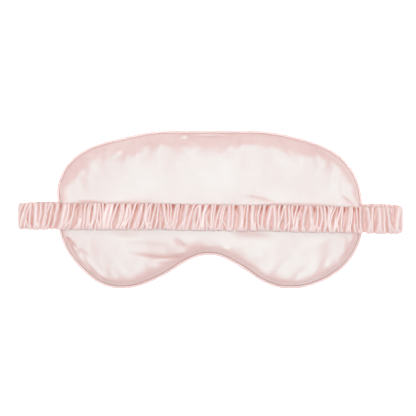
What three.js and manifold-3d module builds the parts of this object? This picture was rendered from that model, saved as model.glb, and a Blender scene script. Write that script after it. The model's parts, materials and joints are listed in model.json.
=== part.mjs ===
// Sleep eye mask: two satin panels sewn together round a padded core, with a thin piping in the seam
// and a gathered elastic strap. It lies front down, with the strap folded over and laid across its back.
// Millimetres. +X runs along the width, +Y from the nose notch to the brow, +Z from the front to the
// face side. The origin is under the middle of the mask, on the surface that it lies on.
import * as THREE from "three";
import Module from "manifold-3d";
import { mergeVertices } from "three/addons/utils/BufferGeometryUtils.js";

const wasm = await Module();
wasm.setup();

// Mask outline
const HALF_WIDTH = 105;
const HALF_HEIGHT = 54.4;
const NOTCH_TOP = -31.1;
const OUTLINE_HALF_STEPS = 34;
const SPINE_SHRINK = 0.62;
const SPINE_HEIGHT = 4;

// Half of the outline as joined curves, each two handles and an end: the notch, the bottom of the
// lobe, its side, its upper corner and the shoulder of the brow. A straight brow follows.
const OUTLINE_CURVES = [
  [[9.9, NOTCH_TOP], [19.3, -37.5], [24, -40.6]],
  [[35, -48], [47, -HALF_HEIGHT], [58.5, -HALF_HEIGHT]],
  [[74, -HALF_HEIGHT], [HALF_WIDTH, -42.3], [HALF_WIDTH, 4]],
  [[HALF_WIDTH, 10.6], [104.6, 29.8], [82.5, 41.6]],
  [[69.9, 48.3], [43.6, HALF_HEIGHT], [30, HALF_HEIGHT]],
];

// Mask thickness
const SEAM_Z = 3.8;
const MASK_TOP = 9;
const CLOTH = 0.5;
const CLEARANCE = 0.3;

// Piping and the seam allowances that hold it
const PIPING_RADIUS = 0.95;
const PIPING_WALL = 0.3;
const CORD_RADIUS = 0.35;
const COVER_OPENING = 40;
const COVER_INNER_OPENING = 32;
const FLANGE_INSET = 4.6;
const PANEL_INSET = 1.6;
const ALLOWANCE_INSET = 5;
const ALLOWANCE_GAP = 0.9;
const ALLOWANCE_CLOTH = 0.35;
const PANEL_SIDE_CLOTH = 0.3;
const OVERLOCK_INSET = 5.7;
const OVERLOCK_SWING = 0.5;

// Padding: the rings of each piece as [inset, z, spine]
const CORE_INSET = 7.5;
const CORE_SPINE = 0.3;
const CORE_TOP = MASK_TOP - CLOTH - CLEARANCE;
const CORE_BOTTOM = CLOTH + CLEARANCE;
const CORE_MIDDLE_GAP = 0.6;
const INTERLINING_INSET = 6.5;
const BACK_WADDING_RINGS = [
  [CORE_INSET, CORE_TOP, CORE_SPINE],
  [CORE_INSET, CORE_TOP - 0.4, 0.15],
  [CORE_INSET, CORE_TOP - 1.1, 0.05],
  [CORE_INSET, SEAM_Z + CORE_MIDDLE_GAP + 1, 0.01],
  [CORE_INSET, SEAM_Z + CORE_MIDDLE_GAP, 0.01],
  [CORE_INSET, SEAM_Z + CORE_MIDDLE_GAP, CORE_SPINE],
];
const FRONT_WADDING_RINGS = [
  [CORE_INSET, SEAM_Z - CORE_MIDDLE_GAP, CORE_SPINE],
  [CORE_INSET, SEAM_Z - CORE_MIDDLE_GAP, 0.01],
  [CORE_INSET, SEAM_Z - CORE_MIDDLE_GAP - 0.8, 0.01],
  [CORE_INSET, CORE_BOTTOM + 0.4, 0.1],
  [CORE_INSET, CORE_BOTTOM, CORE_SPINE],
];
const INTERLINING_RINGS = [
  [CORE_INSET, SEAM_Z + CLOTH / 2, CORE_SPINE],
  [INTERLINING_INSET, SEAM_Z + CLOTH / 2, 0],
  [INTERLINING_INSET, SEAM_Z - CLOTH / 2, 0],
  [CORE_INSET, SEAM_Z - CLOTH / 2, CORE_SPINE],
];

// Strap
const STRAP_Y = -5.8;
const STRAP_WIDTH = 18;
const STRAP_THICKNESS = 4;
const STRAP_HALF_LENGTH = 132.5;
const STRAP_CORNER_RADIUS = 1.6;
const STRAP_CORNER_STEPS = 2;
const CASING_WALL = 0.6;
const ELASTIC_WIDTH = 14;
const ELASTIC_THICKNESS = 1.2;
const LOWER_LAYER_Z = 5.65;
const UPPER_LAYER_Z = 11.4;
const SEAM_HINGE_X = 105.9;
const BAND_HINGES_X = [96, 64, 32];
const SEGMENT_GAP = 0.3;
const APEX_GAP = 1.1;
const FOLD_CUT_ANGLE = 45;
const FOLD_GAP_ANGLE = 5;

// Strap ends inside the side seams
const ROOT_THICKNESS = 1.3;
const ROOT_WIDTH = 17;
const ROOT_Z = 5.65;
const ROOT_OUTER_X = 105.5;
const ROOT_INNER_X = 98.1;
const SLOT_INNER_X = 95;
const SLOT_OUTER_X = 107;
const SLOT_HEIGHT = 2.6;

// Thread
const THREAD = 0.25;
const TACK_X = 98.9;
const TACK_TURNS = 14;
const TACK_WIDTH = 15;
const TACK_SWING = 0.5;
const TACK_LIFT = 0.45;
const CLOSING_HALF_LENGTH = 16;
const CLOSING_STITCHES = 12;
const CLOSING_INSET = 3.4;
const CLOSING_SWING = 0.7;
const CLOSING_Z = 7.45;
const CLOSING_RISE = 0.35;

const SATIN = { color: 0xecc8c6, roughness: 0.35, metalness: 0 };
const PIPING = { color: 0xe3b4b2, roughness: 0.4, metalness: 0 };
const GATHERED = { color: 0xe6aca2, roughness: 0.4, metalness: 0 };
const WADDING = { color: 0xf4f1ec, roughness: 0.95, metalness: 0 };
const BLACKOUT = { color: 0x222226, roughness: 0.9, metalness: 0 };
const CORE_CORD = { color: 0xf0ebe4, roughness: 0.85, metalness: 0 };
const RUBBER = { color: 0xf2efe9, roughness: 0.8, metalness: 0 };
const SEWING = { color: 0xe6bcb9, roughness: 0.6, metalness: 0 };

// Builds one closed surface through rings of equal length. With capPoints the first and last rings are
// closed by flat caps; without it the last ring joins back to the first.
function solidFromRings(rings, capPoints = null) {
  const count = rings[0].length;
  const positions = rings.flat().flatMap((point) => [point.x, point.y, point.z]);
  const index = [];
  const strips = capPoints ? rings.length - 1 : rings.length;
  for (let i = 0; i < strips; i += 1) {
    const next = (i + 1) % rings.length;
    for (let j = 0; j < count; j += 1) {
      const a = i * count + j;
      const b = i * count + ((j + 1) % count);
      const c = next * count + j;
      const d = next * count + ((j + 1) % count);
      index.push(a, c, d, a, d, b);
    }
  }
  if (capPoints) {
    const last = (rings.length - 1) * count;
    for (const [a, b, c] of capTriangles(capPoints(rings[0]))) index.push(a, b, c);
    for (const [a, b, c] of capTriangles(capPoints(rings.at(-1)))) index.push(last + a, last + c, last + b);
  }
  if (signedVolume(positions, index) < 0) index.reverse();
  const geometry = new THREE.BufferGeometry();
  geometry.setAttribute("position", new THREE.Float32BufferAttribute(positions, 3));
  geometry.setIndex(index);
  geometry.computeVertexNormals();
  return geometry;
}

function capTriangles(points) {
  const triangles = THREE.ShapeUtils.triangulateShape(points, []);
  const clockwise = THREE.ShapeUtils.isClockWise(points);
  return triangles.map(([a, b, c]) => {
    const turn = (points[b].x - points[a].x) * (points[c].y - points[a].y)
      - (points[c].x - points[a].x) * (points[b].y - points[a].y);
    return (turn < 0) === clockwise ? [a, b, c] : [a, c, b];
  });
}

function signedVolume(positions, index) {
  const corner = (i) => new THREE.Vector3().fromArray(positions, 3 * index[i]);
  let volume = 0;
  for (let i = 0; i < index.length; i += 3) {
    volume += corner(i).dot(corner(i + 1).cross(corner(i + 2))) / 6;
  }
  return volume;
}

function toManifold(geometry) {
  const plain = geometry.clone();
  plain.deleteAttribute("normal");
  plain.deleteAttribute("uv");
  const merged = mergeVertices(plain);
  return new wasm.Manifold(new wasm.Mesh({
    numProp: 3,
    vertProperties: new Float32Array(merged.getAttribute("position").array),
    triVerts: new Uint32Array(merged.getIndex().array),
  }));
}

function subtract(geometry, cutters) {
  let body = toManifold(geometry);
  for (const cutter of cutters) body = body.subtract(toManifold(cutter));
  const mesh = body.getMesh();
  const result = new THREE.BufferGeometry();
  result.setAttribute("position", new THREE.BufferAttribute(mesh.vertProperties, 3));
  result.setIndex(new THREE.BufferAttribute(mesh.triVerts, 1));
  result.computeVertexNormals();
  return result;
}

// Half of the mask's edge, from the top of the nose notch round the right lobe to the middle of the brow.
function rightHalfEdge() {
  const path = new THREE.Path();
  path.moveTo(0, NOTCH_TOP);
  for (const curve of OUTLINE_CURVES) path.bezierCurveTo(...curve.flat());
  path.lineTo(0, HALF_HEIGHT);
  return path.getSpacedPoints(OUTLINE_HALF_STEPS);
}

// The whole edge, anticlockwise seen from above, with the outward normal at each point.
function maskEdge() {
  const right = rightHalfEdge();
  const left = right.slice(1, -1).reverse().map((point) => new THREE.Vector2(-point.x, point.y));
  const points = [...right, ...left];
  return points.map((point, i) => {
    const along = points[(i + 1) % points.length].clone().sub(points.at(i - 1)).normalize();
    return { point, normal: new THREE.Vector2(along.y, -along.x) };
  });
}

const EDGE = maskEdge();

// A ring inside the edge: inset is the distance in from the edge, and spine how far it is drawn on
// towards the middle line of the mask, from 0 to 1.
function maskRing(inset, z, spine = 0) {
  return EDGE.map(({ point, normal }) => {
    const rim = point.clone().addScaledVector(normal, -inset);
    const middle = new THREE.Vector2(SPINE_SHRINK * point.x, SPINE_HEIGHT);
    const place = rim.lerp(middle, spine);
    return new THREE.Vector3(place.x, place.y, z);
  });
}

const flatten = (ring) => ring.map((point) => new THREE.Vector2(point.x, point.y));

// A solid over the whole mask, from a list of [inset, z, spine] rings: top cap first, bottom cap last.
function maskSolid(profile) {
  return solidFromRings(profile.map(([inset, z, spine]) => maskRing(inset, z, spine)), flatten);
}

// A closed section of [inset, z] corners carried all round the edge.
function edgeSolid(section) {
  return solidFromRings(section.map(([inset, z]) => maskRing(inset, z)));
}

// The crown of each panel's outside, from the rim inwards: [inset, share of the full rise, spine].
const CROWN = [
  [1.5, 0.16, 0],
  [2.1, 0.36, 0],
  [3.6, 0.56, 0],
  [6, 0.74, 0],
  [6, 0.87, 0.07],
  [6, 0.96, 0.16],
  [6, 1, 0.3],
];

// A panel is a shallow satin dish whose rim turns in as a seam allowance. side is 1 for the panel
// against the face and -1 for the front.
function panel(side, crownZ) {
  const rimZ = SEAM_Z + side * ALLOWANCE_GAP;
  const allowanceZ = rimZ + side * ALLOWANCE_CLOTH;
  const outside = CROWN.map(([inset, rise, spine]) => [inset, rimZ + rise * (crownZ - rimZ), spine]);
  const inside = outside.slice(2).map(([inset, z, spine]) => (
    [inset + PANEL_SIDE_CLOTH, z - side * CLOTH, spine]
  ));
  const allowance = [
    [PANEL_INSET, rimZ, 0],
    [ALLOWANCE_INSET, rimZ, 0],
    [ALLOWANCE_INSET, allowanceZ, 0],
    [PANEL_INSET + CLOTH, allowanceZ, 0],
  ];
  const turn = [PANEL_INSET + 2 * CLOTH, inside[0][1], 0];
  return maskSolid([...outside.reverse(), ...allowance, turn, ...inside]);
}

// A slot through the edge of the face-side panel, where the strap's end enters the seam.
function strapSlot(side) {
  const length = SLOT_OUTER_X - SLOT_INNER_X;
  const slot = new THREE.BoxGeometry(length, STRAP_WIDTH + 2 * CLEARANCE, SLOT_HEIGHT);
  return slot.translate(side * (SLOT_INNER_X + length / 2), STRAP_Y, ROOT_Z);
}

function backPanel() {
  return subtract(panel(1, MASK_TOP), [strapSlot(1), strapSlot(-1)]);
}

function frontPanel() {
  return panel(-1, 0);
}

// The piping's satin cover: a round fold over the cord, with two flanges running into the seam.
function pipingCover() {
  const arc = (radius, from, to, steps) => Array.from({ length: steps + 1 }, (_, i) => {
    const angle = THREE.MathUtils.degToRad(from + ((to - from) * i) / steps);
    return [PIPING_RADIUS + radius * Math.cos(angle), SEAM_Z + radius * Math.sin(angle)];
  });
  const outer = arc(PIPING_RADIUS, COVER_OPENING, 360 - COVER_OPENING, 7);
  const bore = PIPING_RADIUS - PIPING_WALL;
  const inner = arc(bore, 360 - COVER_INNER_OPENING, COVER_INNER_OPENING, 5);
  const outerFlange = outer[0][1] - SEAM_Z;
  const innerFlange = inner.at(-1)[1] - SEAM_Z;
  return edgeSolid([
    ...outer,
    [FLANGE_INSET, SEAM_Z - outerFlange],
    [FLANGE_INSET, SEAM_Z - innerFlange],
    ...inner,
    [FLANGE_INSET, SEAM_Z + innerFlange],
    [FLANGE_INSET, SEAM_Z + outerFlange],
  ]);
}

function pipingCord() {
  const corners = Array.from({ length: 6 }, (_, i) => (i * Math.PI) / 3);
  return edgeSolid(corners.map((angle) => [
    PIPING_RADIUS + CORD_RADIUS * Math.cos(angle),
    SEAM_Z - CORD_RADIUS * Math.sin(angle),
  ]));
}

// The overlock thread winds up and down along the raw edges of the allowances, inside the mask.
function seamOverlock() {
  const corners = [[-THREAD, 0], [0, THREAD], [THREAD, 0], [0, -THREAD]];
  const swing = (point, i) => point.setZ(point.z + (i % 2 ? OVERLOCK_SWING : -OVERLOCK_SWING));
  return solidFromRings(corners.map(([across, up]) => (
    maskRing(OVERLOCK_INSET + across, SEAM_Z + up).map(swing)
  )));
}

// Ladder stitches that close the turning gap at the brow, laid over the edge of the face-side panel.
function closingStitches() {
  const along = Array.from({ length: 2 * CLOSING_STITCHES + 1 }, (_, i) => {
    const x = -CLOSING_HALF_LENGTH + (i * CLOSING_HALF_LENGTH) / CLOSING_STITCHES;
    const outwards = i % 2 ? 1 : -1;
    const y = HALF_HEIGHT - CLOSING_INSET + CLOSING_SWING * outwards;
    return new THREE.Vector3(x, y, CLOSING_Z - CLOSING_RISE * outwards);
  });
  const corners = [[0, THREAD], [THREAD, 0], [0, -THREAD], [-THREAD, 0]];
  const rings = along.map((point) => corners.map(([across, up]) => (
    new THREE.Vector3(point.x, point.y + across, point.z + up)
  )));
  return solidFromRings(rings, (ring) => ring.map((point) => new THREE.Vector2(point.y, point.z)));
}

const FOLD_RADIUS = (UPPER_LAYER_Z - LOWER_LAYER_Z) / 2;
const FOLD_CENTRE_X = STRAP_HALF_LENGTH - STRAP_THICKNESS / 2 - FOLD_RADIUS;
const FOLD_CENTRE_Z = (UPPER_LAYER_Z + LOWER_LAYER_Z) / 2;

// A place on the strap's middle line in the fold, by the angle round it: -90 where the lower layer
// ends, 0 at the tip and 90 where the upper layer begins.
function foldStation(degrees) {
  const angle = THREE.MathUtils.degToRad(degrees);
  return {
    x: FOLD_CENTRE_X + FOLD_RADIUS * Math.cos(angle),
    z: FOLD_CENTRE_Z + FOLD_RADIUS * Math.sin(angle),
    outward: new THREE.Vector2(Math.cos(angle), Math.sin(angle)),
  };
}

function foldArc(from, to, steps) {
  return Array.from({ length: steps + 1 }, (_, i) => foldStation(from + ((to - from) * i) / steps));
}

const lowerStation = (x) => ({ x, z: LOWER_LAYER_Z, outward: new THREE.Vector2(0, -1) });
const upperStation = (x) => ({ x, z: UPPER_LAYER_Z, outward: new THREE.Vector2(0, 1) });

// The right half of the strap as runs of stations along its middle line, from the seam to the middle
// of the mask. The left half is its mirror image.
function strapRuns() {
  const cut = FOLD_CUT_ANGLE;
  const gap = FOLD_GAP_ANGLE;
  const bandEnds = [...BAND_HINGES_X, APEX_GAP - SEGMENT_GAP];
  const bands = bandEnds.slice(1).map((end, i) => [
    upperStation(bandEnds[i] - SEGMENT_GAP),
    upperStation(end + SEGMENT_GAP),
  ]);
  return {
    tab: [lowerStation(SEAM_HINGE_X + SEGMENT_GAP), ...foldArc(-90, -cut - gap, 2)],
    fold: foldArc(-cut + gap, cut - gap, 3),
    band_1: [...foldArc(cut + gap, 90, 2), upperStation(BAND_HINGES_X[0] + SEGMENT_GAP)],
    band_2: bands[0],
    band_3: bands[1],
    band_4: bands[2],
  };
}

// A rounded rectangle across the strap, as [across, outward] corners.
function strapSection(width, thickness) {
  const radius = Math.min(thickness / 2, STRAP_CORNER_RADIUS);
  const steps = Array.from({ length: STRAP_CORNER_STEPS + 1 }, (_, i) => (90 * i) / STRAP_CORNER_STEPS);
  const corners = [[1, 1, 0], [-1, 1, 90], [-1, -1, 180], [1, -1, 270]];
  return corners.flatMap(([sideX, sideZ, start]) => steps.map((step) => {
    const angle = THREE.MathUtils.degToRad(start + step);
    return [
      sideX * (width / 2 - radius) + radius * Math.cos(angle),
      sideZ * (thickness / 2 - radius) + radius * Math.sin(angle),
    ];
  }));
}

function strapRing(station, section, side) {
  return section.map(([across, out]) => new THREE.Vector3(
    side * (station.x + out * station.outward.x),
    STRAP_Y + across,
    station.z + out * station.outward.y,
  ));
}

// The gathered satin casing, an open tube.
function strapCasing(stations, side) {
  const outer = strapSection(STRAP_WIDTH, STRAP_THICKNESS);
  const inner = strapSection(STRAP_WIDTH - 2 * CASING_WALL, STRAP_THICKNESS - 2 * CASING_WALL);
  return solidFromRings([
    ...stations.map((station) => strapRing(station, outer, side)),
    ...stations.toReversed().map((station) => strapRing(station, inner, side)),
  ]);
}

// The elastic tape that runs through the casing.
function strapElastic(stations, side) {
  const half = ELASTIC_THICKNESS / 2;
  const wide = ELASTIC_WIDTH / 2;
  const section = [[wide, half], [-wide, half], [-wide, -half], [wide, -half]];
  const corners = section.map(([across, out]) => new THREE.Vector2(across, out));
  return solidFromRings(stations.map((station) => strapRing(station, section, side)), () => corners);
}

// The flattened end of the strap, sewn in between the piping and the face-side panel.
function strapRoot(side) {
  const length = ROOT_OUTER_X - ROOT_INNER_X;
  const root = new THREE.BoxGeometry(length, ROOT_WIDTH, ROOT_THICKNESS);
  return root.translate(side * (ROOT_INNER_X + length / 2), STRAP_Y, ROOT_Z);
}

// A zigzag bar tack across the strap's end.
function strapTack(side) {
  const z = ROOT_Z + ROOT_THICKNESS / 2 + TACK_LIFT;
  const along = Array.from({ length: TACK_TURNS + 1 }, (_, i) => {
    const y = STRAP_Y + TACK_WIDTH * (i / TACK_TURNS - 0.5);
    return new THREE.Vector3(side * (TACK_X + (i % 2 ? TACK_SWING : -TACK_SWING)), y, z);
  });
  const corners = [[0, THREAD / 2], [THREAD, 0], [0, -THREAD / 2], [-THREAD, 0]];
  const rings = along.map((point) => corners.map(([across, up]) => (
    new THREE.Vector3(point.x + across, point.y, point.z + up)
  )));
  return solidFromRings(rings, (ring) => ring.map((point) => new THREE.Vector2(point.x, point.z)));
}

const group = new THREE.Group();

function add(name, geometry, material) {
  const mesh = new THREE.Mesh(geometry, new THREE.MeshStandardMaterial(material));
  mesh.name = name;
  group.add(mesh);
}

add("front_panel", frontPanel(), SATIN);
add("back_panel", backPanel(), SATIN);
add("front_wadding", maskSolid(FRONT_WADDING_RINGS), WADDING);
add("back_wadding", maskSolid(BACK_WADDING_RINGS), WADDING);
add("blackout_interlining", maskSolid(INTERLINING_RINGS), BLACKOUT);
add("piping_cover", pipingCover(), PIPING);
add("piping_cord", pipingCord(), CORE_CORD);
add("seam_overlock", seamOverlock(), SEWING);
add("closing_stitches", closingStitches(), SEWING);
for (const [name, side] of [["left", -1], ["right", 1]]) {
  add(`${name}_strap_root`, strapRoot(side), GATHERED);
  add(`${name}_strap_tack`, strapTack(side), SEWING);
  for (const [run, stations] of Object.entries(strapRuns())) {
    add(`${name}_${run}_casing`, strapCasing(stations, side), GATHERED);
    add(`${name}_${run}_elastic`, strapElastic(stations, side), RUBBER);
  }
}

export default group;
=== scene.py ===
import json
import math

import bpy
import numpy as np
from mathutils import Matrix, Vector, kdtree


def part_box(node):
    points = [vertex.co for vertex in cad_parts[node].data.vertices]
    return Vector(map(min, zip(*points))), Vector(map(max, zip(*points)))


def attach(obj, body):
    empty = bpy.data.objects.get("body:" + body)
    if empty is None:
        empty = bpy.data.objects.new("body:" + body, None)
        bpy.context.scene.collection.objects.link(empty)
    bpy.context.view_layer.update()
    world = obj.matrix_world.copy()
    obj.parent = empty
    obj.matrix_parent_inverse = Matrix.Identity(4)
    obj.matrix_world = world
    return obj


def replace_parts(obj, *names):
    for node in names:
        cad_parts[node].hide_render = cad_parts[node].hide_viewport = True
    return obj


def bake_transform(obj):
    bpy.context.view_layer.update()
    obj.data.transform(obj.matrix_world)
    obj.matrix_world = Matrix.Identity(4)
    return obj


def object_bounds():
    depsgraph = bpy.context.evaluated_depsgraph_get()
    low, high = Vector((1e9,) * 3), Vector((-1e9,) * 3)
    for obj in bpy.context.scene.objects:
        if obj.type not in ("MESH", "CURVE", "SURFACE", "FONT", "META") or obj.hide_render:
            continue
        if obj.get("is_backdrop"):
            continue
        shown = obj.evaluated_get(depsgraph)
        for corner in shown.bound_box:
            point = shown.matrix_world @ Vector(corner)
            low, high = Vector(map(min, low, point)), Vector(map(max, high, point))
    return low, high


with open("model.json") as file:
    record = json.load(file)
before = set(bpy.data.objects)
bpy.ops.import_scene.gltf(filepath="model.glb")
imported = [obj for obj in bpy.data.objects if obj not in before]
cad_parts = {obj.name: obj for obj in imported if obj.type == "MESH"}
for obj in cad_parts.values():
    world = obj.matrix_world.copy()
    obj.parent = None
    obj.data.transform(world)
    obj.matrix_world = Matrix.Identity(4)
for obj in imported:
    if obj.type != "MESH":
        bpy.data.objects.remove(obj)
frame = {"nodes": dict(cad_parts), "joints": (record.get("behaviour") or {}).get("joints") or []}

MM = 0.001
cad_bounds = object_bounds()


def box_mm(node):
    low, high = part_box(node)
    return np.array(low) / MM, np.array(high) / MM


# ---------------------------------------------------------------- sizes from the frame

rim_low, rim_high = box_mm("piping_cover")
HALF_WIDTH = rim_high[0]
HALF_HEIGHT = rim_high[1]
PIPING_RADIUS = (rim_high[2] - rim_low[2]) / 2
SEAM_Z = (rim_high[2] + rim_low[2]) / 2
MASK_TOP = box_mm("back_panel")[1][2]

band_low, band_high = box_mm("right_band_4_casing")
STRAP_Y = (band_low[1] + band_high[1]) / 2
STRAP_HALF_WIDTH = (band_high[1] - band_low[1]) / 2
STRAP_HALF_THICK = (band_high[2] - band_low[2]) / 2
UPPER_Z = (band_low[2] + band_high[2]) / 2
root_low, root_high = box_mm("right_strap_root")
LOWER_Z = (root_low[2] + root_high[2]) / 2
ROOT_HALF_THICK = (root_high[2] - root_low[2]) / 2
FOLD_RADIUS = (UPPER_Z - LOWER_Z) / 2
FOLD_MIDDLE_Z = (UPPER_Z + LOWER_Z) / 2
STRAP_TIP = box_mm("right_fold_casing")[1][0]
FOLD_X = STRAP_TIP - STRAP_HALF_THICK - FOLD_RADIUS


# ---------------------------------------------------------------- small helpers


def smoothstep(t, low=0.0, high=1.0):
    t = np.clip((t - low) / (high - low), 0, 1)
    return t * t * (3 - 2 * t)


def fade(t, start, end):
    """From 1 at start down to 0 at end."""
    return smoothstep(-t, -end, -start)


def weighted(table, x, y, soften):
    """A smooth mix of the values that the table gives at its places, the nearest counting most."""
    total, weight = 0, 0
    for (place_x, place_y), value in table:
        share = 1 / ((x - place_x) ** 2 + (y - place_y) ** 2 + soften) ** 2
        total, weight = total + share * value, weight + share
    return total / weight


def noise(x, y, cell, seed):
    """Smooth seeded noise from -1 to 1 with features about cell across."""
    table = np.random.default_rng(seed).uniform(-1, 1, (64, 64))
    gx, gy = np.asarray(x) / cell + 17.3, np.asarray(y) / cell + 5.7
    ix, iy = np.floor(gx).astype(int), np.floor(gy).astype(int)
    fx, fy = gx - ix, gy - iy
    fx, fy = fx**3 * (fx * (6 * fx - 15) + 10), fy**3 * (fy * (6 * fy - 15) + 10)

    def row(j):
        return table[ix % 64, j % 64] * (1 - fx) + table[(ix + 1) % 64, j % 64] * fx

    return row(iy) * (1 - fy) + row(iy + 1) * fy


def make_mesh(name, points, faces, material):
    """A smooth shaded object from points in millimetres."""
    mesh = bpy.data.meshes.new(name)
    mesh.from_pydata((np.asarray(points) * MM).tolist(), [], faces)
    mesh.polygons.foreach_set("use_smooth", [True] * len(mesh.polygons))
    mesh.materials.append(material)
    mesh.update()
    piece = bpy.data.objects.new(name, mesh)
    bpy.context.scene.collection.objects.link(piece)
    return piece


def store_painted_shading(piece, values):
    """Keeps each point's painted shade, from how deep it lies in a hollow, for the satin's colour."""
    piece.data.attributes.new("painted_shading", "FLOAT", "POINT").data.foreach_set("value", values)


def grid_faces(rows, columns, close_rows=False, close_columns=False):
    """Quads over a grid of points stored row by row."""
    faces = []
    for i in range(rows if close_rows else rows - 1):
        for j in range(columns if close_columns else columns - 1):
            k, m = (i + 1) % rows, (j + 1) % columns
            faces.append((i * columns + j, i * columns + m, k * columns + m, k * columns + j))
    return faces


# ---------------------------------------------------------------- materials


class Nodes:
    """Builds one procedural material on object coordinates."""

    def __init__(self, name):
        self.material = bpy.data.materials.new(name)
        self.material.use_nodes = True
        self.tree = self.material.node_tree
        self.shader = self.tree.nodes["Principled BSDF"]
        self.place = self.add("ShaderNodeTexCoord").outputs["Object"]

    def add(self, kind, **settings):
        node = self.tree.nodes.new(kind)
        for key, value in settings.items():
            setattr(node, key, value)
        return node

    def link(self, source, target):
        self.tree.links.new(source, target)

    def noise(self, scale, detail, stretch=(1, 1, 1)):
        mapping = self.add("ShaderNodeMapping")
        mapping.inputs["Scale"].default_value = stretch
        self.link(self.place, mapping.inputs["Vector"])
        node = self.add("ShaderNodeTexNoise")
        node.inputs["Scale"].default_value = scale
        node.inputs["Detail"].default_value = detail
        node.inputs["Roughness"].default_value = 0.55
        self.link(mapping.outputs["Vector"], node.inputs["Vector"])
        return node.outputs["Fac"]

    def wave(self, pitch, direction):
        """Fine parallel threads, pitch in millimetres."""
        node = self.add("ShaderNodeTexWave", wave_type="BANDS", bands_direction=direction)
        node.inputs["Scale"].default_value = 2 * math.pi / (20 * pitch * MM)
        node.inputs["Distortion"].default_value = 0.6
        node.inputs["Detail"].default_value = 1.0
        self.link(self.place, node.inputs["Vector"])
        return node.outputs["Fac"]

    def ramp(self, value, stops):
        node = self.add("ShaderNodeValToRGB")
        elements = node.color_ramp.elements
        while len(elements) < len(stops):
            elements.new(0.5)
        for element, (place, colour) in zip(elements, stops):
            element.position = place
            element.color = (*colour, 1)
        self.link(value, node.inputs["Fac"])
        return node.outputs["Color"]

    def remap(self, value, low, high):
        node = self.add("ShaderNodeMapRange")
        node.inputs["To Min"].default_value = low
        node.inputs["To Max"].default_value = high
        self.link(value, node.inputs["Value"])
        return node.outputs["Result"]

    def math(self, operation, a, b):
        node = self.add("ShaderNodeMath", operation=operation)
        for socket, value in zip(node.inputs, (a, b)):
            if isinstance(value, (int, float)):
                socket.default_value = value
            else:
                self.link(value, socket)
        return node.outputs["Value"]

    def bump(self, height, strength, distance, below=None):
        node = self.add("ShaderNodeBump")
        node.inputs["Strength"].default_value = strength
        node.inputs["Distance"].default_value = distance * MM
        self.link(height, node.inputs["Height"])
        if below is not None:
            self.link(below, node.inputs["Normal"])
        return node.outputs["Normal"]

    def set(self, **values):
        for key, value in values.items():
            self.shader.inputs[key.replace("_", " ")].default_value = value


def satin(name, pale, deep, rough, weave_pitch, tint, painted_shade_stops=None):
    """Charmeuse satin: long floats with a soft broad gloss and a fine weave. tint is how much red the gloss
    keeps. With stops of painted shade, the colour deepens through those stops as the mesh's painted-shade
    value rises: painted shade in the hollows, where shade would fall."""
    n = Nodes(name)
    colour = n.ramp(n.noise(38, 3), [(0.3, deep), (0.7, pale)])
    if painted_shade_stops:
        # Painted shade: the mesh's painted-shade value darkens the colour through the stops, fully from a
        # value of 0.25 up.
        painted_shading = n.add("ShaderNodeAttribute", attribute_name="painted_shading").outputs["Fac"]
        mix = n.add("ShaderNodeMixRGB")
        n.link(n.math("MULTIPLY", painted_shading, 4), mix.inputs["Fac"])
        n.link(colour, mix.inputs["Color1"])
        n.link(n.ramp(painted_shading, painted_shade_stops), mix.inputs["Color2"])
        colour = mix.outputs["Color"]
    n.link(colour, n.shader.inputs["Base Color"])
    roughness = n.remap(n.noise(900, 2, (1, 0.12, 1)), rough - 0.05, rough + 0.06)
    if painted_shade_stops:
        roughness = n.math("ADD", roughness, n.math("MULTIPLY", painted_shading, 0.35))
    n.link(roughness, n.shader.inputs["Roughness"])
    warp, weft = n.wave(weave_pitch, "X"), n.wave(weave_pitch, "Y")
    weave = n.bump(n.math("ADD", warp, n.math("MULTIPLY", weft, 0.5)), 0.12, 0.03)
    ripple = n.bump(n.noise(420, 2), 0.18, 0.12, weave)
    n.link(ripple, n.shader.inputs["Normal"])
    n.set(Specular_IOR_Level=1.0, Specular_Tint=(tint, 1.0, 0.98, 1.0))
    n.set(Sheen_Weight=0.1, Sheen_Roughness=0.4, Sheen_Tint=(1.0, 0.95, 0.94, 1.0))
    return n.material


def plain_cloth(name, pale, deep, rough, scale):
    n = Nodes(name)
    fibre = n.noise(scale, 5)
    n.link(n.ramp(fibre, [(0.3, deep), (0.7, pale)]), n.shader.inputs["Base Color"])
    n.link(n.remap(fibre, rough - 0.08, rough), n.shader.inputs["Roughness"])
    n.link(n.bump(fibre, 0.5, 0.2), n.shader.inputs["Normal"])
    n.set(Sheen_Weight=0.3, Sheen_Roughness=0.5)
    return n.material


# Painted shade for the panels' seam groove and furrows.
PANEL_PAINTED_SHADE = [
    (0.2, (0.82, 0.53, 0.51)),
    (1.0, (0.62, 0.30, 0.27)),
]
# Painted shade between the strap's gathers, darkest at the foot of the crests.
STRAP_PAINTED_SHADE = [
    (0.25, (0.89, 0.68, 0.66)),
    (0.66, (0.79, 0.51, 0.48)),
    (0.86, (0.69, 0.34, 0.28)),
    (1.0, (0.50, 0.17, 0.12)),
]
PANEL_SATIN = satin("panel_satin", (0.87, 0.63, 0.61), (0.83, 0.55, 0.535), 0.395, 0.24, 0.3, PANEL_PAINTED_SHADE)
# The piping satin is paler than the panel satin: painted highlight along the piping.
PIPING_SATIN = satin("piping_satin", (0.91, 0.71, 0.70), (0.87, 0.64, 0.63), 0.3, 0.24, 0.7)
# The strap satin's own pale colours show only on the crests, where the painted shade is low: painted
# highlight on the crests.
STRAP_SATIN = satin("strap_satin", (0.95, 0.82, 0.81), (0.93, 0.76, 0.75), 0.36, 0.2, 0.75, STRAP_PAINTED_SHADE)
THREAD = plain_cloth("sewing_thread", (0.86, 0.62, 0.60), (0.78, 0.52, 0.50), 0.6, 2500)
WADDING = plain_cloth("wadding_fibre", (0.93, 0.92, 0.90), (0.88, 0.87, 0.85), 0.95, 700)
BLACKOUT = plain_cloth("blackout_cotton", (0.03, 0.03, 0.035), (0.015, 0.015, 0.018), 0.9, 2200)


# ---------------------------------------------------------------- the mask's edge


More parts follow.
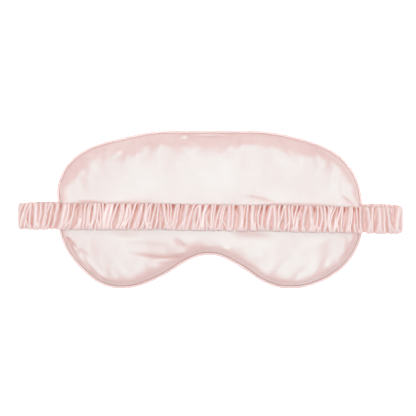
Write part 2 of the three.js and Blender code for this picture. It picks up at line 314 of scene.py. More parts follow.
def bezier(*points):
    """A fine line along the cubic curve with four control points."""
    p = np.array(points, float)
    t = np.linspace(0, 1, 200)[:, None]
    return (1 - t) ** 3 * p[0] + 3 * (1 - t) ** 2 * t * p[1] + 3 * (1 - t) * t * t * p[2] + t**3 * p[3]


# The top of the nose notch, and the points where the edge's curves meet on the right side.
NOTCH_Y = -31.1
NOTCH_FOOT = (24, -40.6)
LOBE_X = 58.5
WIDEST_Y = 4
BROW_CORNER = (82.5, 41.6)
BROW_X = 30
EDGE_STEP = 0.25

# How far outward the sewn edge strays from the even pattern, at places round it.
STRAYS = [
    ((0, 54), 0), ((-35, 53), 0), ((-60, 49), 0), ((-74, 45), 0.9), ((-84, 41), 1.6),
    ((-93, 34), 2.2), ((-99, 26), 2.4), ((-103, 18), 2.2), ((-105, 11), 1.5), ((-105, 3), 0),
    ((-105, -8), 0.2), ((-102, -18), 1.5), ((-98, -28), 0.9), ((-91, -36), 0), ((-84, -43), 0),
    ((-76, -49), 1.0), ((-68, -53), 0.9), ((-58, -54), 0), ((-42, -50), -0.3), ((-25, -41), 0),
    ((-10, -32), 0), ((5, -31), 0.5), ((14, -33), 1.2), ((26, -42), 1.1), ((36, -48), 1.8),
    ((46, -52), 1.5), ((58, -54), 0), ((72, -51), -0.2), ((82, -44), 0.4), ((91, -36), 1.4),
    ((97, -28), 2.0), ((101, -20), 2.2), ((104, -9), 0.5), ((105, 3), 0), ((104, 12), -0.7),
    ((101, 20), -0.9), ((96, 28), -0.7), ((87, 38), -0.1), ((70, 46), 0), ((35, 54), 0),
]
STRAY_SOFTEN = 16
STRAY_REACH = 34


def stray(points):
    """How far each edge point moves outward, averaged over STRAY_REACH neighbours on both sides."""
    out = weighted(STRAYS, points[:, 0], points[:, 1], STRAY_SOFTEN)
    window = np.hanning(2 * STRAY_REACH + 1)
    return np.convolve(np.pad(out, STRAY_REACH, mode="wrap"), window / window.sum(), mode="valid")


def even_steps(loop):
    """Points EDGE_STEP apart along a closed line: how far along each is, its place and outward normal."""
    along = np.concatenate([[0], np.cumsum(np.linalg.norm(np.diff(loop, axis=0), axis=1))])
    at = np.linspace(0, along[-1], int(along[-1] / EDGE_STEP), endpoint=False)
    points = np.column_stack([np.interp(at, along, loop[:, i]) for i in (0, 1)])
    tangent = np.roll(points, -3, 0) - np.roll(points, 3, 0)
    tangent /= np.linalg.norm(tangent, axis=1)[:, None]
    return at, points, np.column_stack([tangent[:, 1], -tangent[:, 0]])


def mask_edge():
    """The closed seam line, anticlockwise from the top of the nose notch, evenly spaced."""
    w, h = HALF_WIDTH, HALF_HEIGHT
    right = np.vstack([
        bezier((0, NOTCH_Y), (9.9, NOTCH_Y), (19.3, -37.5), NOTCH_FOOT),
        bezier(NOTCH_FOOT, (35, -48), (47, -h), (LOBE_X, -h))[1:],
        bezier((LOBE_X, -h), (74, -h), (w, -42.3), (w, WIDEST_Y))[1:],
        bezier((w, WIDEST_Y), (w, 10.6), (104.6, 29.8), BROW_CORNER)[1:],
        bezier(BROW_CORNER, (69.9, 48.3), (43.6, h), (BROW_X, h))[1:],
        [(0, h)],
    ])
    _, points, normal = even_steps(np.vstack([right, (right * (-1, 1))[-2:0:-1], right[:1]]))
    points = points + stray(points)[:, None] * normal
    return even_steps(np.vstack([points, points[:1]]))


EDGE_AT, EDGE, EDGE_NORMAL = mask_edge()
edge_tree = kdtree.KDTree(len(EDGE))
for number, point in enumerate(EDGE):
    edge_tree.insert((point[0], point[1], 0), number)
edge_tree.balance()


def nearest_edge(x, y):
    """For each point, how far in from the edge it is and how far along the edge its nearest point lies."""
    found = [edge_tree.find((a, b, 0)) for a, b in zip(x.ravel(), y.ravel())]
    inset = np.array([f[2] for f in found]).reshape(x.shape)
    along = EDGE_AT[np.array([f[1] for f in found])].reshape(x.shape)
    return inset, along


# ---------------------------------------------------------------- satin panels

PANEL_INSET = 1.5
SEAM_HALF_GAP = 0.62
CLOTH = 0.45
COLUMNS, ROWS = 250, 136
CLOTH_COLUMNS, CLOTH_ROWS = 104, 56
CLOTH_FRAMES = 20
WRINKLE_CAP = 1.2
CORNER_LOW = (88, -41)
CORNER_HIGH = (90, 37)

# Creases in the face-side panel: two ends, half width, height (below 0 is a furrow), and True if keen.
CREASES = [
    ((17, 53), (12.5, 40), 2.0, 0.5),
    ((21, 53), (19, 42), 1.8, -0.4),
    ((48, 49), (45, 40), 2.2, 0.3),
    ((-104, 2), (-88, 6), 1.6, 0.6),
    ((-104, 5.2), (-66, 4.2), 1.5, -0.55),
    ((-74, 4.4), (-36, 4.0), 1.0, -0.4),
    ((92, 15), (104, 2), 1.2, 0.55, True),
    ((90, 11), (103, -1), 1.0, -0.45, True),
    ((97, 19), (104, 8), 1.1, 0.4, True),
    ((-99.6, -18), (-91, -33), 0.8, -0.8, True),
    ((-99.4, -18), (-91, -27), 0.9, -0.85, True),
    ((-98.5, -20), (-91, -29), 1.4, 0.8),
    ((-91, -27), (-84, -33), 2.4, -0.3),
    ((-15, -33.8), (-56, -31.4), 1.5, -0.75, True),
    ((-18, -36.5), (-44, -34.5), 2.4, 0.35),
    ((-17, -27.5), (-26, -20.5), 1.5, -0.65),
    ((-26, -30), (-6, -29), 1.4, 0.3),
    ((1, -24), (1, -31), 1.2, 0.4),
    ((-6, -25), (-4, -31), 1.2, -0.35),
    ((10, -25), (13, -32), 1.4, 0.3),
    ((13, -16), (46, -18.5), 3.0, -0.5),
    ((-48, -18), (-70, -17), 3.0, -0.3),
    ((20, 12.5), (47, 5.5), 1.9, 0.35),
    ((22, 10.5), (49, 3.8), 1.6, -0.4),
    ((-62, 6), (-30, 5), 2.5, -0.2),
    ((-60, -22), (-20, -27), 3.0, -0.2),
    ((60, -28), (86, -20), 3.0, 0.2),
    ((24, 3.5), (99, 2.5), 0.8, -0.6),
]
CLOSING_SEAM = ((-16, 51), (16, 51))
STITCH_PITCH = 1.5
PINCH_PLACE = (-18, 50.2)


def coons_grid(inset, columns, rows):
    """An even grid of quads over the mask, its outer lines on the edge moved in by inset."""
    loop = EDGE - EDGE_NORMAL * inset

    def corner(place, side):
        return int(np.argmin(np.hypot(loop[:, 0] - side * place[0], loop[:, 1] - place[1])))

    low_right, high_right = corner(CORNER_LOW, 1), corner(CORNER_HIGH, 1)
    high_left, low_left = corner(CORNER_HIGH, -1), corner(CORNER_LOW, -1)
    bottom = np.vstack([loop[low_left:], loop[: low_right + 1]])
    right = loop[low_right : high_right + 1]
    top = loop[high_right : high_left + 1][::-1]
    left = loop[high_left : low_left + 1][::-1]

    def spread(count, crowding):
        even = np.linspace(0, 1, count)
        return crowding * (0.5 - 0.5 * np.cos(np.pi * even)) + (1 - crowding) * even

    def along(line, axis, t):
        at = line[0, axis] + t * (line[-1, axis] - line[0, axis])
        keep = np.maximum.accumulate(line[:, axis])
        keep = keep + np.arange(len(keep)) * 1e-9
        return np.column_stack([np.interp(at, keep, line[:, i]) for i in (0, 1)])

    u, v = spread(columns, 0.45), spread(rows, 0.55)
    b, t, l, r = along(bottom, 0, u), along(top, 0, u), along(left, 1, v), along(right, 1, v)
    uu, vv = np.meshgrid(u, v)
    uu, vv = uu[..., None], vv[..., None]
    grid = (1 - vv) * b[None] + vv * t[None] + (1 - uu) * l[:, None] + uu * r[:, None]
    grid -= (1 - uu) * (1 - vv) * b[0] + uu * (1 - vv) * b[-1] + (1 - uu) * vv * t[0] + uu * vv * t[-1]
    return grid[..., 0], grid[..., 1]


def resample(grid, rows, columns):
    """A grid of values at another resolution, by smooth cubic interpolation."""

    def weights(count, size):
        place = np.linspace(0, size - 1, count)
        base = np.clip(np.floor(place).astype(int), 0, size - 2)
        t = place - base
        shares = (
            -0.5 * t + t**2 - 0.5 * t**3,
            1 - 2.5 * t**2 + 1.5 * t**3,
            0.5 * t + 2 * t**2 - 1.5 * t**3,
            -0.5 * t**2 + 0.5 * t**3,
        )
        matrix = np.zeros((count, size))
        for step, share in zip((-1, 0, 1, 2), shares):
            np.add.at(matrix, (np.arange(count), np.clip(base + step, 0, size - 1)), share)
        return matrix

    return weights(rows, grid.shape[0]) @ grid @ weights(columns, grid.shape[1]).T


def blurred(grid, passes):
    """Repeated averaging with the four neighbours."""
    for _ in range(passes):
        padded = np.pad(grid, 1, mode="edge")
        grid = (2 * grid + padded[:-2, 1:-1] + padded[2:, 1:-1] + padded[1:-1, :-2] + padded[1:-1, 2:]) / 6
    return grid


def sheet_border(rows, columns):
    """Indices round the outside of a grid of points, in order."""
    border = list(range(columns)) + [i * columns + columns - 1 for i in range(1, rows)]
    border += [(rows - 1) * columns + j for j in range(columns - 2, -1, -1)]
    return border + [i * columns for i in range(rows - 2, 0, -1)]


def two_sheets(upper, lower):
    """Points and faces of a closed form from two grids of points, upper facing out."""
    rows, columns = upper.shape[:2]
    count = rows * columns
    sheet = grid_faces(rows, columns)
    border = sheet_border(rows, columns)
    rim = [(a, a + count, b + count, b) for a, b in zip(border, border[1:] + border[:1])]
    points = np.vstack([upper.reshape(-1, 3), lower.reshape(-1, 3)])
    return points, sheet + [tuple(count + i for i in reversed(face)) for face in sheet] + rim


def stuffed_cover():
    """Blows the sewn cover up as cloth, its seam held still, and gives the height of the wrinkles that
    form on the face side and on the front."""
    rows, columns = CLOTH_ROWS, CLOTH_COLUMNS
    x, y = coons_grid(PANEL_INSET, columns, rows)
    depth = nearest_edge(x, y)[0] - PANEL_INSET
    top = SEAM_Z + SEAM_HALF_GAP + (MASK_TOP - SEAM_Z - 1) * (1 - np.exp(-depth / 6.5))
    bottom = SEAM_Z - (SEAM_Z - 0.4) * (1 - np.exp(-depth / 5)) - SEAM_HALF_GAP * np.exp(-depth / 5)
    points, faces = two_sheets(np.dstack([x, y, top]), np.dstack([x, y, bottom]))
    cover = make_mesh("stuffed_cover", points, faces, PANEL_SATIN)
    border = sheet_border(rows, columns)
    count = rows * columns
    cover.vertex_groups.new(name="seam").add(border + [i + count for i in border], 1.0, "REPLACE")
    modifier = cover.modifiers.new("Cloth", "CLOTH")
    cloth = modifier.settings
    cloth.quality = 6
    cloth.mass = 0.00012
    cloth.tension_stiffness = 15
    cloth.compression_stiffness = 15
    cloth.shear_stiffness = 5
    cloth.bending_stiffness = 0.02
    cloth.shrink_min = -0.017
    cloth.use_pressure = True
    cloth.uniform_pressure_force = 4
    cloth.vertex_group_mass = "seam"
    cloth.effector_weights.gravity = 0
    modifier.collision_settings.use_collision = False
    modifier.point_cache.frame_start, modifier.point_cache.frame_end = 1, CLOTH_FRAMES
    for moment in range(1, CLOTH_FRAMES + 1):
        bpy.context.scene.frame_set(moment)
    blown = cover.evaluated_get(bpy.context.evaluated_depsgraph_get())
    places = np.empty(6 * count)
    blown.data.vertices.foreach_get("co", places)
    rise = places.reshape(2, rows, columns, 3)[..., 2] / MM - np.stack([top, bottom])
    bpy.data.objects.remove(cover)
    bpy.context.scene.frame_set(1)
    return [wrinkles(side, depth) for side in rise]


def wrinkles(rise, depth):
    """What is left of the cover's rise when its even swell is taken away."""
    levels = np.linspace(0, depth.max(), 24)
    mean = [rise[np.abs(depth - level) < 1.5].mean() for level in levels]
    uneven = rise - np.interp(depth, levels, mean)
    uneven = blurred(uneven - blurred(uneven, 60), 1)
    return np.clip(uneven, -WRINKLE_CAP, WRINKLE_CAP)


def crease(x, y, start, end, half_width, height, sharp=False):
    """A soft ridge or furrow between two points, tapered at both ends."""
    a, b = np.array(start, float), np.array(end, float)
    d = b - a
    length = np.hypot(*d)
    t = ((x - a[0]) * d[0] + (y - a[1]) * d[1]) / length**2
    off = ((x - a[0]) * -d[1] + (y - a[1]) * d[0]) / length
    off = off + 0.12 * length * (t - 0.5) ** 2
    taper = smoothstep(t, -0.05, 0.3) * fade(t, 0.55, 1.1)
    lean = off / half_width
    soft = np.exp(-np.where(lean > 0, (lean * 1.5) ** 2, (lean * 0.75) ** 2))
    keen = np.exp(-np.where(lean > 0, 2.2, 0.8) * (np.sqrt(lean**2 + 0.02) - 0.14))
    return height * taper * (keen if sharp else soft)


def seam_puckers(inset, along, seed, reach):
    """Short gathers where the cloth runs into the seam."""
    depth = inset - PANEL_INSET
    fine = noise(along, 0 * along, 3.4, seed) + 0.6 * noise(along, 0 * along + 40, 6.5, seed + 1)
    strength = 0.5 + 0.5 * noise(along, 0 * along + 90, 22, seed + 2)
    return fine * strength * np.exp(-depth / reach) * (1 - np.exp(-depth / 1.0))


# The strap lies a little askew: its rise in the middle, its slope, its curve, and how far its lower
# layer has slid towards the brow on each side.
STRAP_RISE, STRAP_SLOPE, STRAP_CURVE = 0.6, -0.0128, -0.000065
LEFT_SHIFT, RIGHT_SHIFT = 1.2, 2.7


def strap_y(x):
    return STRAP_Y + STRAP_RISE + STRAP_SLOPE * x + STRAP_CURVE * x * x


def lower_shift(x):
    return np.where(x < 0, LEFT_SHIFT, RIGHT_SHIFT)


def strap_lift(x, y, inset):
    """The rim of the face-side panel rises over the strap's end, which is sewn in under it."""
    off = np.abs(y - strap_y(x) - lower_shift(x))
    across = smoothstep(STRAP_HALF_WIDTH - off, -1.7, 1.1)
    return across * smoothstep(np.abs(x), 90, 100) * np.exp(-(inset - PANEL_INSET) / 5)


# How far in from the seam the face side takes to fill out, at places round the edge.
ROLL_OFF = [
    ((0, 54), 6.8), ((-35, 53), 6.6), ((-66, 47), 6.0), ((-84, 39), 5.2), ((-96, 27), 4.6),
    ((-104, 13), 1.3), ((-104, -4), 1.1), ((-98, -22), 1.1), ((-86, -38), 1.2), ((-74, -48), 1.6),
    ((-60, -54), 2.0), ((-40, -50), 2.9), ((-25, -42), 4.0), ((-12, -34), 3.4), ((0, -31), 3.0),
    ((16, -36), 3.0), ((36, -48), 2.8), ((58, -54), 2.1), ((76, -49), 2.8), ((90, -35), 2.8),
    ((98, -22), 2.2), ((104, -2), 1.1), ((103, 16), 1.3), ((96, 28), 2.1), ((88, 38), 3.4),
    ((55, 50), 5.8),
]
ROLL_SOFTEN = 60
ROLL_SHARE = 0.88


def roll_off(x, y):
    uneven = 1 + 0.34 * noise(x, y, 10, 91) + 0.08 * noise(x, y, 3.6, 92)
    return ROLL_SHARE * weighted(ROLL_OFF, x, y, ROLL_SOFTEN) * uneven


def face_crown(x, y, depth):
    """How full the face side is, 0 at the seam and 1 over the padding."""
    share = depth / roll_off(x, y)
    rounded = 0.48 * (1 - np.exp(-(share**2))) + 0.2 * (1 - np.exp(-((share / 2.1) ** 2)))
    return 0.32 * (1 - np.exp(-2.4 * share)) + rounded


def face_side_height(x, y, wrinkle):
    inset, along = nearest_edge(x, y)
    depth = inset - PANEL_INSET
    floor = SEAM_Z + SEAM_HALF_GAP
    z = floor + (MASK_TOP + 0.1 - floor) * face_crown(x, y, depth)
    z = z + 1.9 * strap_lift(x, y, inset) * np.exp(-depth / 9)
    inner = smoothstep(depth, 0, 10)
    z = z + inner * (0.22 * noise(x, y, 27, 3) + 0.10 * noise(x, y, 11, 4) + 0.035 * noise(x, y, 4.5, 5))
    calm_middle = 1 - 0.85 * np.exp(-((x / 17) ** 2))
    z = z + wrinkle * calm_middle * (0.2 + 0.35 * fade(depth, 12, 26))
    z = z + 0.3 * seam_puckers(inset, along, 11, 4.2)
    for fold in CREASES:
        z = z + crease(x, y, *fold) * smoothstep(depth, -0.4, 2.5)
    z = z + crease(x, y, *CLOSING_SEAM, 0.8, -0.6)
    pinch = np.exp(-(((x - PINCH_PLACE[0]) / 3.0) ** 4) - ((y - PINCH_PLACE[1]) / 1.4) ** 4)
    z = z + pinch * (floor + 2.3 - z)
    under_strap = smoothstep(STRAP_HALF_WIDTH - np.abs(y - strap_y(x)), -2, 2)
    return np.minimum(z, MASK_TOP + 0.32 - 0.15 * under_strap)


def painted_groove_shade(x, y, creases):
    """How much painted shade each place gets in the seam's groove and in the furrows, from 0 to 1."""
    depth = nearest_edge(x, y)[0] - PANEL_INSET
    # Painted shade along the seam's groove, stronger in the lower half.
    total = (0.5 + 0.35 * fade(y, -10, 25)) * np.exp(-((depth / 0.75) ** 2))
    for start, end, half_width, height, *keen in creases:
        if height < 0:
            share = 1.0 if keen else 0.5
            total = total - share * crease(x, y, start, end, 0.65 * half_width, height, *keen)
    return np.clip(total, 0, 1)


def front_rise(depth):
    """The front's height above what it lies on, which falls from the seam to nothing."""
    return (SEAM_Z - 0.55) * np.exp(-((depth / 5.0) ** 0.95))


def front_height(x, y, wrinkle):
    inset, along = nearest_edge(x, y)
    depth = np.maximum(inset - PANEL_INSET, 0)
    z = front_rise(depth) + wrinkle * fade(depth, 8, 20)
    z = z - 0.25 * seam_puckers(inset, along, 31, 4.0)
    z = z + 0.10 * smoothstep(depth, 6, 16) * (1 + noise(x, y, 22, 33))
    return np.maximum(z, 0.02)


def sheet_normals(points):
    """Unit normals of a grid of points, facing +Z."""
    du = np.gradient(points, axis=1)
    dv = np.gradient(points, axis=0)
    normal = np.cross(du, dv)
    return normal / np.maximum(np.linalg.norm(normal, axis=2), 1e-9)[..., None]


def panel(name, height, wrinkle, side, creases):
    """A thin satin sheet with its raw edges turned down into the seam. side is 1 face side, -1 front."""
    x, y = coons_grid(PANEL_INSET, COLUMNS, ROWS)
    outer = np.dstack([x, y, height(x, y, resample(wrinkle, ROWS, COLUMNS))])
    inner = outer - side * CLOTH * sheet_normals(outer)
    if side > 0:
        for hem in (inner[0], inner[-1], inner[:, 0], inner[:, -1]):
            hem[:, 2] = np.minimum(hem[:, 2], SEAM_Z + SEAM_HALF_GAP - CLOTH)
    points, faces = two_sheets(outer, inner)
    if side < 0:
        faces = [tuple(reversed(face)) for face in faces]
    piece = make_mesh(name, points, faces, PANEL_SATIN)
    # The panels' colour gets painted shade in the seam groove and the furrows.
    store_painted_shading(piece, np.tile(painted_groove_shade(x, y, creases).ravel(), 2))
    return piece


face_wrinkles, front_wrinkles = stuffed_cover()
face_panel = panel("face_side_satin", face_side_height, face_wrinkles, 1, CREASES)
front_panel = panel("front_satin", front_height, front_wrinkles, -1, [])
for piece, node in ((face_panel, "back_panel"), (front_panel, "front_panel")):
    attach(piece, "mask")
    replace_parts(piece, node)


# ---------------------------------------------------------------- padding and closing seam

CORE_INSET = HALF_WIDTH - box_mm("back_wadding")[1][0]
CORE_HALF_GAP = 0.6


def wadding(name, side):
    """A sheet of padding that follows the panel outside it, well clear of its wrinkles."""
    x, y = coons_grid(CORE_INSET, 80, 44)
    depth = nearest_edge(x, y)[0] - PANEL_INSET
    inner = np.full(x.shape, SEAM_Z + side * CORE_HALF_GAP)
    if side > 0:
        rise = SEAM_HALF_GAP + (MASK_TOP - SEAM_Z) * face_crown(x, y, depth) - CLOTH - 1.3
        outer = SEAM_Z + np.maximum(rise, 0.9) + 0.06 * noise(x, y, 6, 61)
        points, faces = two_sheets(np.dstack([x, y, outer]), np.dstack([x, y, inner]))
    else:
        outer = np.minimum(front_rise(depth) + CLOTH + 1.1, inner - 0.4) + 0.06 * noise(x, y, 6, 62)
        points, faces = two_sheets(np.dstack([x, y, inner]), np.dstack([x, y, outer]))
    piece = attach(make_mesh(name, points, faces, WADDING), "mask")
    return piece


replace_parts(wadding("back_padding", 1), "back_wadding")
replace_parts(wadding("front_padding", -1), "front_wadding")


def stitch_tube(path, radius=0.14, around=8):
    """Points and faces of a closed tube along a path, tapered at its ends."""
    path = np.asarray(path, float)
    tangent = np.gradient(path, axis=0)
    tangent /= np.linalg.norm(tangent, axis=1)[:, None]
    side = np.cross(tangent, (0, 0, 1))
    side /= np.linalg.norm(side, axis=1)[:, None]
    up = np.cross(side, tangent)
    angle = np.linspace(0, 2 * np.pi, around, endpoint=False)
    taper = np.sin(np.linspace(0.15, np.pi - 0.15, len(path))) ** 0.5
    ring = np.cos(angle)[None, :, None] * side[:, None] + np.sin(angle)[None, :, None] * up[:, None]
    points = path[:, None] + radius * taper[:, None, None] * ring
    faces = grid_faces(len(path), around, False, True)
    last = (len(path) - 1) * around
    faces += [tuple(reversed(range(around))), tuple(last + i for i in range(around))]
    return points.reshape(-1, 3), faces


def closing_seam():
    """Ladder stitches that draw the two folded edges of the turning gap together at the brow."""
    (x0, y0), (x1, _) = CLOSING_SEAM
    vertices = face_panel.data.vertices
    outer_count = COLUMNS * ROWS
    face = kdtree.KDTree(outer_count)
    for number in range(outer_count):
        face.insert(Vector((*vertices[number].co.xy, 0)) / MM, number)
    face.balance()
    points, faces = [], []
    count = int((x1 - x0) / STITCH_PITCH)
    for i in range(count):
        x = x0 + (i + 0.5) * STITCH_PITCH
        path = []
        for t in np.linspace(-0.5, 0.5, 7):
            place = np.array([x + 0.55 * STITCH_PITCH * t, y0 + 0.9 * t, 0])
            number = face.find(Vector(place))[1]
            place[2] = vertices[number].co.z / MM + 0.12 * math.cos(math.pi * t)
            path.append(place)
        stitch, sides = stitch_tube(path)
        faces += [tuple(len(points) + k for k in side) for side in sides]
        points += stitch.tolist()
    return make_mesh("closing_seam_stitches", points, faces, THREAD)


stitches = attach(closing_seam(), "mask")
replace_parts(stitches, "closing_stitches")


# ---------------------------------------------------------------- piping


def piping():
    """A thin satin-covered cord all round the seam, with the fine twist wrinkles of bias tape."""
    around = 14
    angles = np.linspace(0, 2 * np.pi, around, endpoint=False)
    points, normals, at = EDGE[::2], EDGE_NORMAL[::2], EDGE_AT[::2]
    centre = points - normals * PIPING_RADIUS
    twist = np.sin(2 * np.pi * at[:, None] / 2.9 + angles[None] + 2 * noise(at, 0 * at, 9, 51)[:, None])
    radius = PIPING_RADIUS * (1 + 0.035 * noise(at, 0 * at, 5, 52)[:, None] + 0.035 * twist)
    radius = np.minimum(radius, PIPING_RADIUS * 1.08)
    out = radius * np.cos(angles)[None]
    x = centre[:, :1] + normals[:, :1] * out
    y = centre[:, 1:] + normals[:, 1:] * out
    z = SEAM_Z + radius * np.sin(angles)[None]
    rows = len(points)
    faces = [tuple(reversed(f)) for f in grid_faces(rows, around, True, True)]
    return make_mesh("seam_piping", np.dstack([x, y, z]).reshape(-1, 3), faces, PIPING_SATIN)


seam_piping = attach(piping(), "mask")
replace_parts(seam_piping, "piping_cover", "piping_cord")


# ---------------------------------------------------------------- gathered strap

# TO_ and the piece ends are distances along the strap's middle line from the mask's middle.
STRAP_STEP = 0.34
STRAP_AROUND = 104
ARC = math.pi * FOLD_RADIUS
SEAM_X = HALF_WIDTH + 0.9
TO_FOLD = FOLD_X
TO_TAB = TO_FOLD + ARC
TO_SEAM = TO_TAB + FOLD_X - SEAM_X
TO_END = TO_SEAM + 5.5
TAB_END = TO_SEAM + 1.5
ROOT_START = TO_SEAM + 0.6
ROOT_END = TO_SEAM + 7.8
ROOT_TAPER = 6.0
CREST_EASE = 0.13
RIDGE_BLEND = 0.07
RIDGE_NEAR = 9
WHOLE = 12
REACH = 3


class Gathers:
    """The gathers of one face of the strap: a height over (along, across) made from single ridges.
    A ridge runs across the strap up to its end, and some have a fork that leans away from them."""

    def __init__(self, seed, depth, spacing):
        rng = np.random.default_rng(seed)
        self.seed = seed
        self.ridges = []
        at, slant = -TO_END - 4, 0.08
        while at < TO_END + 4:
            gap = spacing * rng.choice([0.6, 0.9, 1.15, 1.5, 2.0], p=[0.2, 0.33, 0.27, 0.14, 0.06])
            gap *= rng.uniform(0.88, 1.12)
            at += gap
            slant = 0.5 * slant + 0.5 * rng.normal(0.09, 0.17)
            bend = rng.normal(0, 0.008)
            height = depth * rng.uniform(0.85, 1.05)
            flat = rng.uniform(0.14, 0.38) + (rng.uniform(0.3, 0.9) if rng.random() < 0.14 else 0)
            steep = np.clip(1.3 * depth / max(0.55 * gap - flat, 0.3), 1.0, 2.6)
            end = rng.uniform(-5, 3) if rng.random() < 0.08 else WHOLE
            self.ridges.append((at, slant, bend, height, flat, steep, end))
            if rng.random() < 0.6:
                fork = rng.uniform(-6.0, -1.0)
                lean = rng.choice([-1, 1]) * rng.uniform(0.25, 0.5)
                self.ridges.append((at - lean * fork, slant + lean, bend, height, 0.8 * flat, steep, fork))

    def height(self, along, across):
        """along and across are arrays of one shape; along rises with the first index."""
        wobble = 0.3 * noise(along, across, 4.5, self.seed + 5)
        wobble += 0.5 * noise(along, across, 14, self.seed + 6)
        total = -0.5 + 0.45 * noise(along - 0.15 * across, 0.2 * across, 1.2, self.seed + 7)
        first = along[:, 0]
        for at, slant, bend, height, flat, steep, end in self.ridges:
            near = slice(*np.searchsorted(first, (at - RIDGE_NEAR, at + RIDGE_NEAR)))
            if near.start == near.stop:
                continue
            u, v = along[near], across[near]
            off = u + wobble[near] - at - slant * v - bend * (v * v - 25)
            crest = height * fade(v, end - 1.5, end + 1.0)
            ridge = crest - steep * CREST_EASE * np.logaddexp(0, (np.abs(off) - flat) / CREST_EASE)
            gain = np.clip(0.5 + (ridge - total[near]) / (2 * RIDGE_BLEND), 0, 1)
            total[near] = total[near] * (1 - gain) + ridge * gain + RIDGE_BLEND * gain * (1 - gain)
        return total


outer_gathers = Gathers(101, 1.6, 2.6)
inner_gathers = Gathers(202, 1.2, 3.6)


def strap_path(s):
    """Place and outward direction on the strap's middle line, s measured from the mask's middle."""
    side = np.sign(s)
    run = np.abs(s)
    angle = np.clip((run - TO_FOLD) / FOLD_RADIUS, 0, math.pi)
    x = np.where(run < TO_FOLD, run, FOLD_X + FOLD_RADIUS * np.sin(angle) - np.maximum(run - TO_TAB, 0))
    z = FOLD_MIDDLE_Z + FOLD_RADIUS * np.cos(angle)
    outward = np.column_stack([side * np.sin(angle), 0 * s, np.cos(angle)])
    shifted = smoothstep(run, TO_FOLD - 4, np.where(side < 0, TO_SEAM, TO_TAB + 3))
    y = strap_y(side * x) + lower_shift(side) * shifted
    return np.column_stack([side * x, y, z]), outward


def row_average(values):
    """Each value averaged with the REACH rows before and after it."""
    padded = np.pad(values, ((REACH, REACH), (0, 0)), mode="edge")
    total = np.cumsum(np.vstack([np.zeros((1, values.shape[1])), padded]), axis=0)
    window = 2 * REACH + 1
    return (total[window:] - total[:-window]) / window


# Below 1 these make the strap's section squarer than an ellipse.
WIDE_POWER, THICK_POWER = 0.6, 0.34


def strap_surface(s):
    """Points of the strap's skin, one row for each s and one column round its section, with how much painted
    shade each gets: in the valleys and at the foot of the crests, most near the top edge. The first and last
    REACH rows of s only serve their neighbours."""
    t = np.linspace(0, 2 * np.pi, STRAP_AROUND, endpoint=False)
    c, d = np.cos(t), np.sin(t)
    wide = np.sign(c) * np.abs(c) ** WIDE_POWER
    thick = np.sign(d) * np.abs(d) ** THICK_POWER
    run = np.abs(s)
    flat = smoothstep(run, TO_SEAM - ROOT_TAPER, TO_SEAM)[:, None]
    along, across = np.meshgrid(s, STRAP_HALF_WIDTH * wide, indexing="ij")
    face = np.broadcast_to(0.5 + 0.5 * thick, along.shape)
    outer = outer_gathers.height(along, across)
    gather = face * outer + (1 - face) * 0.8 * inner_gathers.height(along, across)
    edge = np.abs(wide)[None] ** 10
    calm = np.where(across > 0, 1 - 0.45 * edge, 1 - 0.3 * edge) * (1 - 0.85 * flat)
    base = 0.6 * (1 - flat) + (ROOT_HALF_THICK - 0.1) * flat
    out = thick[None] * (base + np.maximum(gather, -0.9) * calm)
    limit = STRAP_HALF_THICK * np.where(thick > 0, 1.1, 0.97)[None]
    out = np.clip(out, -limit, limit)
    scallop = edge * outer * np.where(across > 0, 0.22, 0.55) * (1 - flat)
    sideways = STRAP_HALF_WIDTH * wide[None] * (1 - 0.04 * flat)
    sideways = sideways + np.sign(wide)[None] * (scallop - 0.35 * edge)
    sideways = sideways + 0.25 * noise(s, 0 * s, 14, 77)[:, None]
    centre, outward = strap_path(s)
    lift = 0.25 * noise(s, 0 * s + 50, 18, 78) * smoothstep(run, 20, 60) * (1 - flat[:, 0])
    points = centre[:, None, :] + outward[:, None, :] * out[..., None]
    points[..., 1] += sideways
    points[..., 2] += np.abs(lift)[:, None] * (run < TO_FOLD)[:, None]
    # Painted shade: more in the valleys and where a point lies below the rows around it, standing in for
    # shade from neighbouring crests.
    low = 1 - smoothstep(gather, -0.8, 1.6)
    painted_shading = 0.5 * low + 0.5 * np.clip(0.5 + 0.75 * (row_average(gather) - gather), 0, 1)
    # Extra painted shade near the top edge, close to the mask, for shade between the gathers there.
    top_edge_shade = smoothstep(across / STRAP_HALF_WIDTH, 0.2, 0.9) * fade(run, 96, 112)[:, None]
    painted_shading = painted_shading * (0.87 + 0.31 * top_edge_shade)
    return points[REACH:-REACH], painted_shading[REACH:-REACH]


def strap_piece(name, start, end):
    """The strap from start to end along its middle line, closed at both ends."""
    first, last = sorted((start, end))
    count = max(4, int(round((last - first) / STRAP_STEP)) + 1)
    step = (last - first) / (count - 1)
    rings, painted_shading = strap_surface(first + step * np.arange(-REACH, count + REACH))
    points = rings.reshape(-1, 3)
    faces = grid_faces(count, STRAP_AROUND, False, True)
    cap = list(range(STRAP_AROUND))
    faces.append(tuple(cap))
    faces.append(tuple((count - 1) * STRAP_AROUND + i for i in reversed(cap)))
    piece = make_mesh(name, points, [tuple(reversed(f)) for f in faces], STRAP_SATIN)
    store_painted_shading(piece, painted_shading.ravel())
    return piece


def hinge(name):
    found = [joint for joint in frame["joints"] if joint["name"] == name]
    return np.array(found[0]["pos_m"]) / MM


def fold_span(side, turn):
    """Where the strap bends at its fold: below the tip for turn -1, above it for 1."""
    eighth = math.sqrt(0.5)
    pivot = np.array([side * (FOLD_X + eighth * FOLD_RADIUS), 0, FOLD_MIDDLE_Z + turn * eighth * FOLD_RADIUS])
    along = np.array([-turn * side * eighth, 0, eighth]) * 0.35 * FOLD_RADIUS
    return pivot - along, pivot + along


def flat_span(side, x, reach, z):
    """Two points along the strap while it lies flat, from x + reach to x - reach."""
    return np.array([side * (x + reach), 0, z]), np.array([side * (x - reach), 0, z])


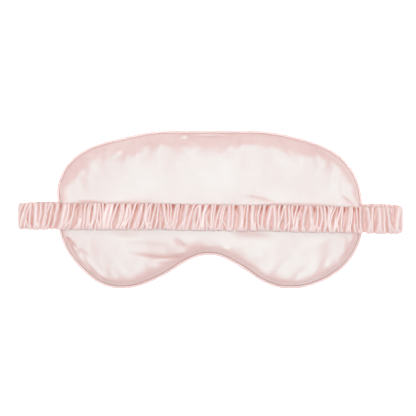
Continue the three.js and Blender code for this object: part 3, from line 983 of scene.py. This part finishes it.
def add_strap(side_name, side):
    x1, x2, x3 = (abs(hinge(f"{side_name}_{band}_band")[0]) for band in ("outer", "middle", "inner"))
    cuts = [TAB_END, TO_TAB + 8, TO_FOLD + ARC / 2, (FOLD_X + x1) / 2, (x1 + x2) / 2, (x2 + x3) / 2, 0]
    parts = ["tab", "fold", "band_1", "band_2", "band_3", "band_4"]
    spans = [flat_span(side, SEAM_X + 1.4, -2, LOWER_Z), fold_span(side, -1), fold_span(side, 1)]
    spans += [flat_span(side, x, 5, UPPER_Z) for x in (x1, x2, x3)]
    for k, (part, span) in enumerate(zip(parts, spans)):
        body = f"{side_name}_{part}"
        piece = strap_piece(f"{side_name}_strap_{part}", side * cuts[k], side * cuts[k + 1])
        start, end = (Vector(place * MM) for place in span)
        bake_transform(piece)
        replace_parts(piece, f"{body}_casing", f"{body}_elastic")
    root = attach(strap_piece(f"{side_name}_strap_end", side * ROOT_END, side * ROOT_START), "mask")
    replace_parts(root, f"{side_name}_strap_root")


add_strap("left", -1)
add_strap("right", 1)

for node in ("left_strap_tack", "right_strap_tack", "seam_overlock"):
    frame["nodes"][node].data.materials[0] = THREAD
frame["nodes"]["blackout_interlining"].data.materials[0] = BLACKOUT


# ---------------------------------------------------------------- floor, light and camera

# Metres and watts from here on.
FLOOR_HALF = 3.0


def floor():
    mesh = bpy.data.meshes.new("floor")
    corners = [(-1, -1), (1, -1), (1, 1), (-1, 1)]
    mesh.from_pydata([(FLOOR_HALF * x, FLOOR_HALF * y, 0) for x, y in corners], [], [(0, 1, 2, 3)])
    n = Nodes("floor_white")
    n.set(Base_Color=(0.93, 0.93, 0.93, 1), Roughness=0.9)
    n.set(Emission_Color=(1, 1, 1, 1), Emission_Strength=0.5)
    mesh.materials.append(n.material)
    piece = bpy.data.objects.new("floor", mesh)
    bpy.context.scene.collection.objects.link(piece)
    piece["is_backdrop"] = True


def area_light(name, place, size, power):
    """A white rectangle of light that faces the frame's origin."""
    data = bpy.data.lights.new(name, "AREA")
    data.shape = "RECTANGLE"
    data.size, data.size_y = size
    data.energy = power
    lamp = bpy.data.objects.new(name, data)
    lamp.location = place
    lamp.rotation_euler = (-Vector(place)).to_track_quat("-Z", "Y").to_euler()
    lamp.visible_camera = False
    bpy.context.scene.collection.objects.link(lamp)


def camera():
    data = bpy.data.cameras.new("camera")
    data.lens = 150
    data.sensor_width = 36
    eye = bpy.data.objects.new("camera", data)
    eye.location = (-0.0017, 0.001, 1.2)
    bpy.context.scene.collection.objects.link(eye)
    bpy.context.scene.camera = eye


floor()
area_light("overhead", (0, 0.015, 1.0), (0.58, 0.50), 6.6)
area_light("left", (-1.0, 0, 0.45), (0.5, 0.7), 1.5)
area_light("right", (1.0, 0, 0.45), (0.5, 0.7), 1.5)
area_light("back", (0, 1.1, 0.8), (1.2, 0.6), 2.6)
world = bpy.data.worlds.new("studio")
world.use_nodes = True
world.node_tree.nodes["Background"].inputs["Color"].default_value = (1, 1, 1, 1)
world.node_tree.nodes["Background"].inputs["Strength"].default_value = 0.26
bpy.context.scene.world = world
bpy.context.scene.view_settings.view_transform = "Standard"
camera()

plain = lambda bounds: [[float(v) for v in corner] for corner in bounds]
{"cad": plain(cad_bounds), "visual": plain(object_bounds())}
